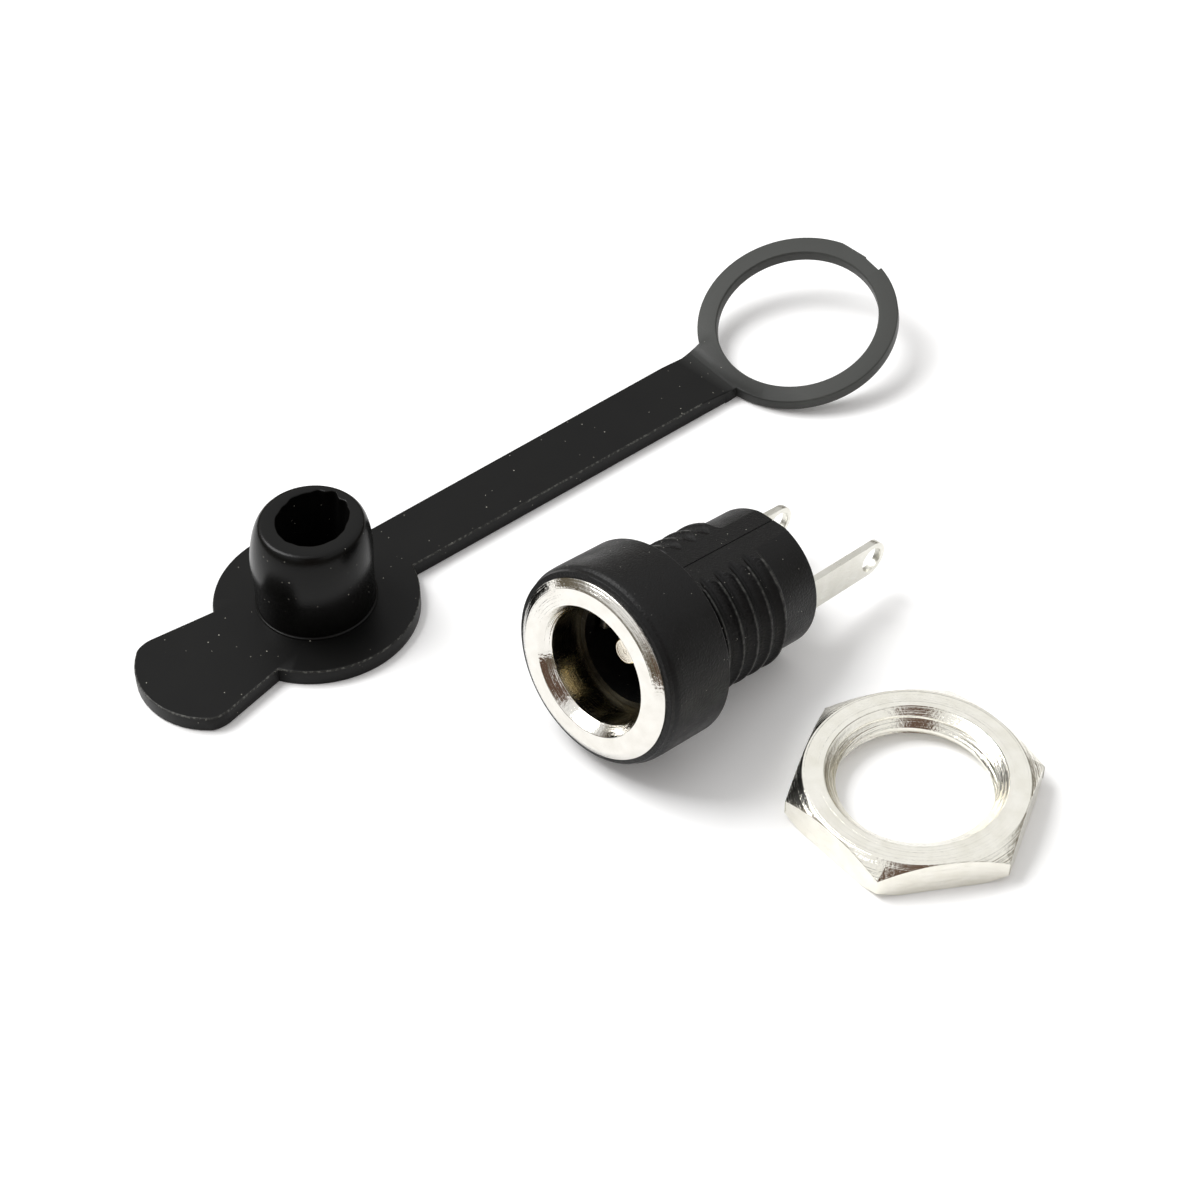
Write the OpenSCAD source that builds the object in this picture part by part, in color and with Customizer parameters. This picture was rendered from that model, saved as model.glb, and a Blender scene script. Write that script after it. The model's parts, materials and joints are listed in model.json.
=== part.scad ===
// Panel-mount DC power jack with its hex nut and its tethered rubber dust cap.
// Millimetres, Z up, everything lies on the table at Z = 0.
// The jack is drawn along +Z from the face of its mouth, then laid down: the mouth looks
// to -Y and the barrel tips back until its lower flat meets the table. The nut lies to its
// right. The cap stands plug up on its left, with its strap and ring running to +Y.

/* [Body] */
// Diameter of the flange that stops against the panel
flange_dia = 14; // [13.6:0.1:15]
// Length from the face of the mouth to the back of the flange
flange_len = 5.95; // [5:0.05:7]
// Length from the face of the mouth to the rear end of the barrel
body_len = 17; // [16.5:0.1:20]
// Outside diameter of the thread
thread_dia = 10.9; // [10.6:0.1:11.4]
// Distance from one thread ridge to the next
thread_pitch = 1.41; // [1.2:0.01:1.6]
// Number of thread ridges, the first of which rises from the back of the flange
thread_ridges = 6; // [4:1:6]
// Diameter of the plain barrel behind the thread
barrel_dia = 10; // [9.9:0.05:10.2]
// Width across the two flats that keep the jack from turning in its panel
body_flats = 9.6; // [9.4:0.05:9.7]

/* [Bezel] */
// Outside diameter of the metal bezel
bezel_dia = 12.76; // [12:0.02:13]
// Outside diameter of the bezel's flat face
bezel_face_dia = 11.6; // [10.8:0.1:12]
// Diameter of the mouth's countersink at the face
lead_dia = 9.28; // [8.8:0.02:10]
// Bore of the metal mouth
mouth_dia = 8.14; // [7.9:0.02:8.4]
// Depth of the metal lining, from the face
lining_depth = 3.5; // [3:0.1:4]

/* [Socket] */
// Diameter of the centre pin
pin_dia = 2.1; // [1.9:0.05:2.5]
// How far the pin's tip stands back from the face
pin_recess = 3.45; // [3:0.05:5]
// Bore of the plastic socket behind the lining
socket_dia = 7.4; // [7.2:0.05:7.6]
// Depth of the socket's floor, from the face
socket_depth = 12.6; // [12:0.1:13]

/* [Contacts] */
// Thickness of the tinned strip that the contacts and lugs are cut from
strip_thick = 0.5; // [0.4:0.05:0.55]
// Width of a solder lug
lug_width = 2.7; // [2.4:0.1:3]
// Diameter of the eye in a solder lug
eye_dia = 1.9; // [1.2:0.1:1.9]
// Distance of the two outer lugs from the jack's axis
lug_offset = 3.5; // [3.4:0.05:3.5]
// How far the long lug's eye stands behind the barrel
long_lug_reach = 7.3; // [5:0.1:9]
// How far the short lug's eye stands behind the barrel
short_lug_reach = 5.5; // [3:0.1:7]
// Angle at which the long lug has been bent up
long_lug_rise = 3; // [0:0.5:5]

/* [Nut] */
// Width across the nut's flats
nut_flats = 15; // [14.5:0.1:16]
// Thickness of the nut
nut_thick = 2.6; // [2.4:0.1:4]
// How far the corners' chamfer comes down from the nut's upper face
nut_chamfer = 0.94; // [0.6:0.01:1]
// How far the smaller chamfer comes up from its lower face
nut_back_chamfer = 0.48; // [0.2:0.01:0.7]

/* [Cap] */
// Diameter of the cap's disc
cap_dia = 14.5; // [13:0.1:16]
// Thickness of the disc, the tab and the strap
cap_thick = 1.25; // [1:0.05:1.6]
// Largest diameter of the hollow plug
plug_dia = 8.55; // [8.2:0.05:8.8]
// Height of the plug above the disc
plug_height = 7.3; // [6:0.1:8]
// Diameter of the plug's rim
plug_rim_dia = 6.8; // [6:0.1:7.4]
// Bore of the hollow plug
plug_bore = 4.8; // [4:0.1:5]
// Width of the strap where it leaves the disc
strap_width = 4.9; // [4.5:0.1:6.5]
// Width of the strap at its fold by the ring
strap_end_width = 5.2; // [4.5:0.1:6.5]
// Distance from the middle of the disc to the strap's fold at the ring
strap_len = 37.1; // [25:0.1:45]
// Hole of the ring that goes round the barrel
ring_bore = 12.4; // [11.8:0.1:12.6]
// Outside diameter of the ring
ring_dia = 15.4; // [14.5:0.1:17]
// Thickness of the ring
ring_thick = 1; // [0.8:0.05:1.6]
// How far the pull tab's end stands from the middle of the disc
tab_reach = 14.3; // [11:0.1:18]
// Width between the pull tab's spreading sides, at its outer end
tab_width = 9.3; // [7:0.1:10]
// Width between the same sides in line with the middle of the disc
tab_root_width = 5.4; // [4:0.1:6.8]
// Radius of the pull tab's arched end
tab_end_r = 5.6; // [5:0.1:8]

/* [How the pieces lie] */
// Middle of the jack's face on the table: across, and away
jack_spot = [1.9, -14.76]; // [-40:0.01:40]
// Middle of the nut
nut_spot = [19.96, -2.87]; // [-40:0.01:40]
// Turn of the nut
nut_turn = -5.9; // [-30:0.1:30]
// Middle of the cap's disc
cap_spot = [-21.32, -18.53]; // [-40:0.01:40]
// Direction in which the strap runs
strap_turn = 83.9; // [60:0.1:120]
// How far the strap lies to the left of the middle of the disc
strap_shift = 0.6; // [0:0.05:0.8]
// How far the ring lies to the right of the middle of the disc
ring_shift = 0.75; // [0:0.05:1]
// Angle at which the ring curls up from the table
ring_lift = 16.5; // [2:0.1:25]
// Sideways lean of the curled ring
ring_roll = 4.3; // [0:0.1:5]

/* [Hidden] */
$fn = 96;

// Shared clearances: a sliding fit on a radius, a loose slot for a strip, and the room that
// a contact leaf has to give way
fit_gap = 0.02;
slot_gap = 0.05;
leaf_room = 0.35;
// How far a cutting shape runs past the face that it cuts
past = 1;

flange_r = flange_dia / 2;
thread_r = thread_dia / 2;
barrel_r = barrel_dia / 2;
flat_h = body_flats / 2;
bezel_r = bezel_dia / 2;
mouth_r = mouth_dia / 2;
pin_r = pin_dia / 2;

// Bezel: the bevel round its face, the countersink, the head and the wall of its lining
bevel_depth = 0.38;
lead_depth = 0.77;
head_depth = 1;
lining_wall = 0.68;
lining_r = mouth_r + lining_wall;
lining_edge = 0.15;

// Flange: its rounded front lip starts just behind the bezel's bevel
lip_start = 0.5;
lip_len = 0.75;
lip_steps = 6;
edge_break = 0.15;

// Thread: its first crest stands against the flange, its last ends at the plain barrel
crest_start = 0.3;
first_crest = flange_len + crest_start;
thread_end = first_crest + (thread_ridges - 0.5) * thread_pitch;
ridge_flat = 0.12;

// Rear pocket, which holds the plug that carries the pin and the contacts
pocket_r = 4.25;
pocket_step = 0.6;
plug_back = body_len - pocket_step;
rear_edge = 0.2;

// Contact leaves: a strip narrower than its lug bows in to press on the plug's sleeve
leaf_width = 2;
shoulder_len = 0.6;
leaf_front = 5;
leaf_straight = 1;
leaf_root = socket_depth - leaf_straight;
leaf_bow = 0.6;
leaf_steps = 12;
channel_lead = 0.6;
channel_front = leaf_front - channel_lead;
channel_reach = lug_offset + strip_thick / 2 + leaf_room;
channel_play = 0.2;
channel_width = leaf_width + 2 * channel_play;

// Centre pin: collar on the rear plug's front, tail through it, rivet head over the lug
collar_step = 0.55;
collar_r = pin_r + collar_step;
collar_len = 0.8;
tail_r = 0.8;
rivet_r = 1.2;
rivet_len = 0.4;
rivet_bevel = 0.25;
tip_round = 0.8;
tip_steps = 6;
pin_leg_drop = 1.7;
pin_leg_len = 3;

// Nut: both faces are chamfered at one angle, and the thread is drawn at its crests
nut_corner_r = nut_flats / sqrt(3);
face_step = 0.1;
nut_face_r = nut_flats / 2 - face_step;
nut_back_r = nut_corner_r - (nut_corner_r - nut_face_r) * nut_back_chamfer / nut_chamfer;
crest_reach = 0.25;
nut_bore_r = thread_r - crest_reach;
mouth_step = 0.52;
nut_mouth_r = thread_r + mouth_step;
nut_mouth_depth = 0.55;

// Cap: the plug has a filleted foot, a straight neck, and a bulge that rounds over to the rim
cap_r = cap_dia / 2;
plug_r = plug_dia / 2;
plug_top = cap_thick + plug_height;
foot_flare = 0.2;
foot_height = 0.4;
neck_inset = 0.08;
neck_height = 2.4;
bulge_height = 3.9;
plug_steps = 8;
hollow_floor = cap_thick + foot_height;
tab_corner_r = 1.2;
tab_skew = 3;
ring_r = ring_dia / 2;
nick_depth = 0.35;
nick_turn = 9;
// The lower corner of the leaning ring's tongue stays on the table
ring_rise = (strap_end_width / 2 - strap_shift) * sin(ring_roll);

// The jack rests on the flange's back edge and on the rear end of its lower flat
rest_len = flange_len - edge_break;
tilt = atan((flange_r - flat_h) / (body_len - rest_len));
face_height = flange_r * cos(tilt) + rest_len * sin(tilt);

// Lays a piece that is drawn along the jack's axis on the table
module lay_jack() {
    translate([jack_spot[0], jack_spot[1], face_height])
        rotate([-90 - tilt, 0, 0])
            children();
}

// Points of one thread ridge: its front foot and its crest
function ridge(i) =
    let (mid = first_crest + i * thread_pitch)
    [[barrel_r, mid - thread_pitch / 2],
     [thread_r, mid - ridge_flat / 2],
     [thread_r, mid + ridge_flat / 2]];

// Rounded lip from the bezel's edge to the side of the flange
function lip() =
    let (width = flange_r - bezel_r - fit_gap)
    [for (i = [0 : lip_steps])
        let (a = 90 * i / lip_steps)
        [flange_r - width * (1 - sin(a)), lip_start + lip_len * (1 - cos(a))]];

// Outline of the moulding on one side of its axis, with the bores left for later
function housing_outline() = concat(
    [[0, lip_start]],
    lip(),
    [[flange_r, rest_len],
     [flange_r - edge_break, flange_len],
     [thread_r, flange_len],
     [thread_r, first_crest + ridge_flat / 2]],
    [for (i = [1 : thread_ridges - 1]) each ridge(i)],
    [[barrel_r, thread_end],
     [barrel_r, body_len - rear_edge],
     [barrel_r - rear_edge, body_len],
     [0, body_len]]);

// Flange, interrupted thread and barrel in one moulding
module housing() {
    color("#2b2b2d")
        lay_jack()
            difference() {
                rotate_extrude()
                    polygon(housing_outline());
                for (side = [0, 180])
                    rotate([0, 0, side])
                        translate([-flange_r, flat_h, flange_len])
                            cube([flange_dia, flange_r, body_len]);
                translate([0, 0, lip_start - past])
                    cylinder(r = bezel_r + fit_gap, h = head_depth - lip_start + past);
                translate([0, 0, head_depth - past])
                    cylinder(r = lining_r + fit_gap, h = lining_depth - head_depth + past);
                translate([0, 0, lining_depth - past])
                    cylinder(d = socket_dia, h = socket_depth - lining_depth + 2 * past);
                translate([0, 0, socket_depth])
                    cylinder(r = pocket_r, h = body_len);
                for (side = [0, 180])
                    rotate([0, 0, side])
                        contact_channel();
            }
}

// Channel along the socket's wall for one contact leaf
module contact_channel() {
    translate([0, -channel_width / 2, channel_front])
        cube([channel_reach, channel_width, socket_depth - channel_front + past]);
}

// Turned metal ring in the mouth: bevelled face, countersink and lining in one piece
module bezel() {
    color("#d8d6d0")
        lay_jack()
            rotate_extrude()
                polygon([
                    [lead_dia / 2, 0],
                    [bezel_face_dia / 2, 0],
                    [bezel_r, bevel_depth],
                    [bezel_r, head_depth],
                    [lining_r, head_depth],
                    [lining_r, lining_depth],
                    [mouth_r + lining_edge, lining_depth],
                    [mouth_r, lining_depth - lining_edge],
                    [mouth_r, lead_depth]]);
}

// Turned centre pin with a domed tip, its collar, its tail and the rivet head over the lug
module centre_pin() {
    collar_front = socket_depth - collar_len;
    head_front = plug_back + strip_thick;
    color("#e4e0d2")
        lay_jack()
            rotate_extrude()
                polygon(concat(
                    [[0, pin_recess]],
                    [for (i = [1 : tip_steps])
                        let (a = 90 * i / tip_steps)
                        [pin_r * sin(a), pin_recess + tip_round * (1 - cos(a))]],
                    [[pin_r, collar_front],
                     [collar_r, collar_front],
                     [collar_r, socket_depth],
                     [tail_r, socket_depth],
                     [tail_r, head_front],
                     [rivet_r, head_front],
                     [rivet_r - rivet_bevel, head_front + rivet_len],
                     [0, head_front + rivet_len]]));
}

// Flat lug that runs along +Z to a round end with an eye, its thickness centred on Y
module lug_blade(length) {
    translate([0, strip_thick / 2, 0])
        rotate([90, 0, 0])
            linear_extrude(strip_thick)
                difference() {
                    union() {
                        translate([-lug_width / 2, 0])
                            square([lug_width, length]);
                        translate([0, length])
                            circle(d = lug_width);
                    }
                    translate([0, length])
                        circle(d = eye_dia);
                }
}

// Lug riveted to the pin's tail: a foot on the rear plug and a blade bent back from it
module pin_lug() {
    foot_top = -lug_width / 2;
    blade_y = pin_leg_drop + strip_thick / 2;
    color("#dcdccf")
        lay_jack()
            translate([0, 0, plug_back]) {
                difference() {
                    translate([foot_top, foot_top, 0])
                        cube([lug_width, pin_leg_drop + strip_thick - foot_top, strip_thick]);
                    translate([0, 0, -past])
                        cylinder(r = tail_r + fit_gap, h = strip_thick + 2 * past);
                }
                translate([0, blade_y, 0])
                    lug_blade(pin_leg_len);
            }
}

// Distance of a leaf's middle from the axis, at a depth from the face
function leaf_x(z) =
    lug_offset - leaf_bow * sin(180 * (z - leaf_front) / (leaf_root - leaf_front));

// Strip with a bowed leaf in front and a lug behind, whose blade rises by an angle
module contact_strip(reach, rise) {
    steps = [for (i = [0 : leaf_steps]) leaf_front + (leaf_root - leaf_front) * i / leaf_steps];
    half = strip_thick / 2;
    translate([0, leaf_width / 2, 0])
        rotate([90, 0, 0])
            linear_extrude(leaf_width)
                polygon(concat(
                    [for (z = steps) [leaf_x(z) - half, z]],
                    [[lug_offset - half, plug_back + half],
                     [lug_offset + half, plug_back + half]],
                    [for (i = [leaf_steps : -1 : 0]) [leaf_x(steps[i]) + half, steps[i]]]));
    translate([lug_offset - half, -lug_width / 2, plug_back])
        cube([strip_thick, lug_width, shoulder_len]);
    translate([lug_offset, 0, plug_back + shoulder_len - half])
        rotate([rise, 0, 0])
            rotate([0, 0, 90])
                lug_blade(body_len + reach - plug_back - shoulder_len + half);
}

// Sleeve contact, which ends in the long lug
module sleeve_contact() {
    color("#e2e2da")
        lay_jack()
            contact_strip(long_lug_reach, long_lug_rise);
}

// Switch contact on the other side, which ends in the short lug
module switch_contact() {
    color("#e2e2da")
        lay_jack()
            rotate([0, 0, 180])
                contact_strip(short_lug_reach, 0);
}

// Insulating plug that closes the rear and carries the pin and both contacts
module rear_plug() {
    slot_x = strip_thick + 2 * slot_gap;
    slot_y = leaf_width + 2 * slot_gap;
    color("#232325")
        lay_jack()
            difference() {
                translate([0, 0, socket_depth])
                    cylinder(r = pocket_r - fit_gap, h = plug_back - socket_depth);
                translate([0, 0, socket_depth - past])
                    cylinder(r = tail_r + fit_gap, h = body_len);
                for (side = [-1, 1])
                    translate([side * lug_offset - slot_x / 2, -slot_y / 2, socket_depth - past])
                        cube([slot_x, slot_y, body_len]);
            }
}

// Hexagonal panel nut, chamfered more on the side that faces up
module nut() {
    color("#d2d0ca")
        translate([nut_spot[0], nut_spot[1], 0])
            rotate([0, 0, nut_turn])
                difference() {
                    intersection() {
                        cylinder(r = nut_corner_r, h = nut_thick, $fn = 6);
                        rotate_extrude()
                            polygon([
                                [0, 0],
                                [nut_back_r, 0],
                                [nut_corner_r, nut_back_chamfer],
                                [nut_corner_r, nut_thick - nut_chamfer],
                                [nut_face_r, nut_thick],
                                [0, nut_thick]]);
                    }
                    rotate_extrude()
                        polygon([
                            [0, -past],
                            [nut_mouth_r, -past],
                            [nut_mouth_r, 0],
                            [nut_bore_r, nut_mouth_depth],
                            [nut_bore_r, nut_thick - nut_mouth_depth],
                            [nut_mouth_r, nut_thick],
                            [nut_mouth_r, nut_thick + past],
                            [0, nut_thick + past]]);
                }
}

// Outline of the plug above the disc: foot, neck, bulge and rim
function plug_outline() =
    let (neck = plug_r - neck_inset, rim = plug_rim_dia / 2, bulge = cap_thick + bulge_height)
    concat(
        [[0, 0],
         [neck + foot_flare, 0],
         [neck + foot_flare, cap_thick],
         [neck, cap_thick + foot_height],
         [neck, cap_thick + neck_height]],
        [for (i = [0 : plug_steps])
            let (a = 90 * i / plug_steps)
            [rim + (plug_r - rim) * cos(a), bulge + (plug_top - bulge) * sin(a)]],
        [[0, plug_top]]);

// Pull tab, widening from the disc to its arched end
module tab_outline() {
    offset(r = tab_corner_r)
        offset(delta = -tab_corner_r)
            intersection() {
                polygon([
                    [0, -tab_root_width / 2],
                    [-tab_reach, -tab_width / 2],
                    [-tab_reach, tab_width / 2],
                    [0, tab_root_width / 2]]);
                translate([-tab_reach + tab_end_r, 0])
                    union() {
                        circle(r = tab_end_r);
                        translate([0, -tab_width])
                            square([tab_reach, 2 * tab_width]);
                    }
            }
}

// Strap, widening a little from the disc to its fold at the ring
module strap_outline() {
    polygon([
        [0, strap_shift - strap_width / 2],
        [strap_len, strap_shift - strap_end_width / 2],
        [strap_len, strap_shift + strap_end_width / 2],
        [0, strap_shift + strap_width / 2]]);
}

// Ring drawn flat from the strap's fold, on the line through the middle of the disc
module ring() {
    hole_spot = [ring_r, -ring_shift, 0];
    difference() {
        union() {
            translate(hole_spot)
                cylinder(r = ring_r, h = ring_thick);
            translate([0, strap_shift - strap_end_width / 2, 0])
                cube([ring_r, strap_end_width, ring_thick]);
        }
        translate(hole_spot - [0, 0, past])
            cylinder(d = ring_bore, h = ring_thick + 2 * past);
        translate(hole_spot)
            rotate([0, 0, nick_turn])
                translate([ring_r - nick_depth, -ring_r, -past])
                    cube([ring_r, ring_dia, ring_thick + 2 * past]);
    }
}

// Disc, plug, pull tab, strap and ring moulded in one piece of rubber
module dust_cap() {
    color("#2e2e2f")
        translate([cap_spot[0], cap_spot[1], 0])
            rotate([0, 0, strap_turn])
                difference() {
                    union() {
                        cylinder(r = cap_r, h = cap_thick);
                        rotate_extrude()
                            polygon(plug_outline());
                        rotate([0, 0, tab_skew])
                            linear_extrude(cap_thick)
                                tab_outline();
                        linear_extrude(cap_thick)
                            strap_outline();
                        translate([strap_len, 0, ring_rise])
                            rotate([ring_roll, -ring_lift, 0])
                                ring();
                    }
                    translate([0, 0, hollow_floor])
                        cylinder(d = plug_bore, h = plug_height + past);
                }
}

housing();
bezel();
centre_pin();
pin_lug();
sleeve_contact();
switch_contact();
rear_plug();
nut();
dust_cap();
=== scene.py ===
"""Panel-mount DC power jack with its hex nut and its rubber dust cap, lying open on a table."""

import json
import math

import bmesh
import bpy
from mathutils import Matrix, Vector

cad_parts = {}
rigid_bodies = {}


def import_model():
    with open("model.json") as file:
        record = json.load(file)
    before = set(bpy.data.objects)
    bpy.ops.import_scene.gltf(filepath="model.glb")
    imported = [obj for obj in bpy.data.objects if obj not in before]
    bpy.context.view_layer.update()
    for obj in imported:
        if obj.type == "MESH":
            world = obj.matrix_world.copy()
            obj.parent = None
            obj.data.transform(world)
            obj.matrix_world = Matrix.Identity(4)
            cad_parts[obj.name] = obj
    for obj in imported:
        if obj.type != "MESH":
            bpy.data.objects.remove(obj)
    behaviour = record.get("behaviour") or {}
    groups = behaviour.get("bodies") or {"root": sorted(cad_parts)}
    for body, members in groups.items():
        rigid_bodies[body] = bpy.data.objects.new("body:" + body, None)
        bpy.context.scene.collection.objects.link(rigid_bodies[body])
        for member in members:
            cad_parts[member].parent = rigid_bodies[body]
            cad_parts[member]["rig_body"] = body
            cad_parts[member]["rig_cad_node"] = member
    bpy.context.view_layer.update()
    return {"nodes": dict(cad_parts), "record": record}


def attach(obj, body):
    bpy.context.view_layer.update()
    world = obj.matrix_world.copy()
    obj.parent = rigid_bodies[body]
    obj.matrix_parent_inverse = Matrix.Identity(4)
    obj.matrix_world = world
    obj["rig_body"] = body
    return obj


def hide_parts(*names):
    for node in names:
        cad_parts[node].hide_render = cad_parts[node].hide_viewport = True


MM = 0.001
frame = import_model()


# ---- Housing ----------------------------------------------------------------------------
# One injection moulding in black PBT: the flange that stops at the panel, a coarse thread
# that the two anti-turn flats interrupt, and the plain barrel. The tool's parting line runs
# along the top flat, and the socket is cored out from both ends.

# The jack is made standing on the face of its mouth, in mm, and laid down when it is done.
MOUNTS = {mount["name"]: mount for mount in frame["record"]["mounts"]}
LEAD_DEPTH = 0.77
MOUTH_DEPTH = MOUNTS["mouth"]["dims"]["length_mm"] / 2 + LEAD_DEPTH
JACK_AXIS = -Vector(MOUNTS["mouth"]["axis"])
JACK_FACE = Vector(MOUNTS["mouth"]["pos_m"]) - JACK_AXIS * MOUTH_DEPTH * MM
ACROSS = Vector((1, 0, 0))
JACK_TURN = Matrix((ACROSS, JACK_AXIS.cross(ACROSS), JACK_AXIS)).transposed()
JACK_PLACE = tuple(JACK_FACE)
JACK_EULER = tuple(JACK_TURN.to_euler())

BODY_LENGTH = 17.0
BARREL_RADIUS = MOUNTS["rear_barrel"]["dims"]["r_mm"]
FLAT_HEIGHT = 4.8
FLANGE_LENGTH = 5.95
FLANGE_RADIUS = 7.0
FLANGE_EDGE = [(6.76, 0.56, 0.06), (6.79, 0.9, 0.04), (6.97, 1.1, 0.13), (FLANGE_RADIUS, 1.75)]
LIP_START = 0.5
BEZEL_RADIUS = 6.38
HEAD_DEPTH = 1.0
LINING_RADIUS = 4.75
LINING_DEPTH = 3.5
SEAT_GAP = 0.02
SOCKET_RADIUS = 3.7
SOCKET_DEPTH = 12.6
POCKET_RADIUS = 4.25
CHANNEL_FRONT = 4.4
CHANNEL_REACH = 4.1
CHANNEL_WIDTH = 2.4
SEAM_WIDTH = 0.07
SEAM_DEPTH = 0.07
SEAM_START = 8.1
THREAD_PITCH = 1.41
THREAD_RADIUS = 5.45
THREAD_TURNS = 6
THREAD_RUN_IN = 0.7
THREAD_START = math.radians(101)
GROOVE_RADIUS = 0.68
FLANK_TURNS = [math.radians(12 + 11.6 * step) for step in range(6)]
RIDGE_FOOT = (BARREL_RADIUS - 0.4, 0.5)
# A cutter runs this far past the face it opens, and this far past the jack all round.
PAST = 1
PAST_SIDE = 9
PAST_REAR = 20


def nothing_selected():
    """Leaves object mode with nothing selected."""
    if bpy.context.object and bpy.context.object.mode != "OBJECT":
        bpy.ops.object.mode_set(mode="OBJECT")
    bpy.ops.object.select_all(action="DESELECT")


def take_up(piece):
    """Selects one piece alone and makes it the active one."""
    nothing_selected()
    bpy.context.view_layer.objects.active = piece
    piece.select_set(True)


def pick(piece, inside):
    """Selects the vertices whose place in millimetres passes a test, with their edges."""
    mesh = bmesh.from_edit_mesh(piece.data)
    for vertex in mesh.verts:
        vertex.select = inside(vertex.co / MM)
    mesh.select_flush_mode()
    bmesh.update_edit_mesh(piece.data)


def trace(name, corners, raised=0):
    """Starts a piece in edit mode as a line through (x, y, z) corners, all raised by as much."""
    nothing_selected()
    bpy.ops.mesh.primitive_plane_add(size=MM)
    piece = bpy.context.object
    piece.name = name
    bpy.ops.object.mode_set(mode="EDIT")
    bpy.ops.mesh.merge(type="CENTER")
    x, y, z = corners[0]
    bpy.ops.transform.translate(value=(x * MM, y * MM, (z + raised) * MM))
    for start, end in zip(corners, corners[1:]):
        step = [(b - a) * MM for a, b in zip(start, end)]
        bpy.ops.mesh.extrude_vertices_move(TRANSFORM_OT_translate={"value": step})
    bpy.ops.mesh.select_all(action="SELECT")
    return piece


def close_up(piece):
    """Merges doubles, turns the faces outwards and goes back to object mode."""
    bpy.ops.mesh.select_all(action="SELECT")
    bpy.ops.mesh.remove_doubles(threshold=1e-3 * MM)
    bpy.ops.mesh.normals_make_consistent(inside=False)
    bpy.ops.object.mode_set(mode="OBJECT")
    return piece


def turned(name, outline, segments=144):
    """Spins an outline of (radius, height) corners; a third number rounds a corner."""
    piece = trace(name, [(corner[0], 0, corner[1]) for corner in outline])
    bpy.ops.mesh.remove_doubles(threshold=1e-4 * MM)
    for radius, height, rounding in [corner for corner in outline if len(corner) == 3]:
        pick(piece, lambda co: math.hypot(co.x - radius, co.z - height) < 1e-3)
        bpy.ops.mesh.bevel(offset=rounding * MM, segments=4, affect="VERTICES")
    bpy.ops.mesh.select_all(action="SELECT")
    bpy.ops.mesh.spin(steps=segments, angle=math.tau, center=(0, 0, 0), axis=(0, 0, 1))
    return close_up(piece)


def thread_ridge(name, profile, turns, start_height):
    """Screws a closed profile of (radius, height) corners into a right-hand ridge."""
    corners = [(radius, 0, height) for radius, height in profile + profile[:1]]
    ridge = close_up(trace(name, corners, start_height))
    screw = ridge.modifiers.new("screw", "SCREW")
    screw.axis = "Z"
    screw.angle = math.tau
    screw.screw_offset = THREAD_PITCH * MM
    screw.iterations = turns
    screw.steps = screw.render_steps = 72
    bpy.ops.object.modifier_apply(modifier=screw.name)
    bpy.ops.object.mode_set(mode="EDIT")
    bpy.ops.mesh.select_all(action="SELECT")
    bpy.ops.mesh.fill_holes(sides=0)
    return close_up(ridge)


def block(name, low, high):
    """A box between two corners."""
    nothing_selected()
    middle = [(a + b) / 2 * MM for a, b in zip(low, high)]
    size = [(b - a) * MM for a, b in zip(low, high)]
    bpy.ops.mesh.primitive_cube_add(size=1, location=middle, scale=size)
    piece = bpy.context.object
    piece.name = name
    bpy.ops.object.transform_apply(location=True, rotation=True, scale=True)
    return piece


def combine(piece, other, operation):
    """Joins, cuts or intersects a piece with another, which is used up."""
    take_up(piece)
    boolean = piece.modifiers.new("combine", "BOOLEAN")
    boolean.operation = operation
    boolean.solver = "EXACT"
    boolean.object = other
    bpy.ops.object.modifier_apply(modifier=boolean.name)
    bpy.data.objects.remove(other)


def finish_smooth(piece, angle=30):
    """Shades round faces smooth and keeps flat faces flat right up to their rounded edges."""
    take_up(piece)
    bpy.ops.object.shade_smooth_by_angle(angle=math.radians(angle))
    weighted = piece.modifiers.new("flat_faces", "WEIGHTED_NORMAL")
    weighted.keep_sharp = True
    bpy.ops.object.modifier_apply(modifier=weighted.name)


def lay_as_jack(piece):
    """Lays a piece that was made standing on the face of the mouth where the jack lies."""
    piece.data.transform(Matrix.Translation(JACK_FACE) @ JACK_TURN.to_4x4())


def belongs(piece, material, node):
    """Gives a piece its material and its body, and hides the node it stands for."""
    piece.data.materials.clear()
    piece.data.materials.append(material)
    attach(piece, "root")
    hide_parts(node)


def linear(hex_colour):
    """The linear RGBA of an sRGB hex colour."""
    channels = [int(hex_colour[i:i + 2], 16) / 255 for i in (1, 3, 5)]
    return [c / 12.92 if c <= 0.04045 else ((c + 0.055) / 1.055) ** 2.4 for c in channels] + [1]


def add(tree, kind, inputs=None, **settings):
    """Adds a node with its settings; each input takes a value or another node's output."""
    node = tree.nodes.new(kind)
    for name, value in settings.items():
        setattr(node, name, value)
    for key, value in (inputs or {}).items():
        if isinstance(value, bpy.types.NodeSocket):
            tree.links.new(value, node.inputs[key])
        else:
            node.inputs[key].default_value = value
    return node


def new_material(name):
    """An empty material with its output and its Principled shader."""
    material = bpy.data.materials.new(name)
    material.use_nodes = True
    tree = material.node_tree
    tree.nodes.clear()
    shader = add(tree, "ShaderNodeBsdfPrincipled")
    add(tree, "ShaderNodeOutputMaterial", {"Surface": shader.outputs[0]})
    return material, tree, shader


def surface(tree, shader, colour, roughness, height, strength, depth):
    """Gives a shader a colour node, a roughness node and a relief of a depth in mm."""
    bump = add(tree, "ShaderNodeBump", {
        "Height": height, "Strength": strength, "Distance": depth * MM})
    tree.links.new(colour.outputs["Result"], shader.inputs["Base Color"])
    tree.links.new(roughness.outputs["Result"], shader.inputs["Roughness"])
    tree.links.new(bump.outputs["Normal"], shader.inputs["Normal"])


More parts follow.
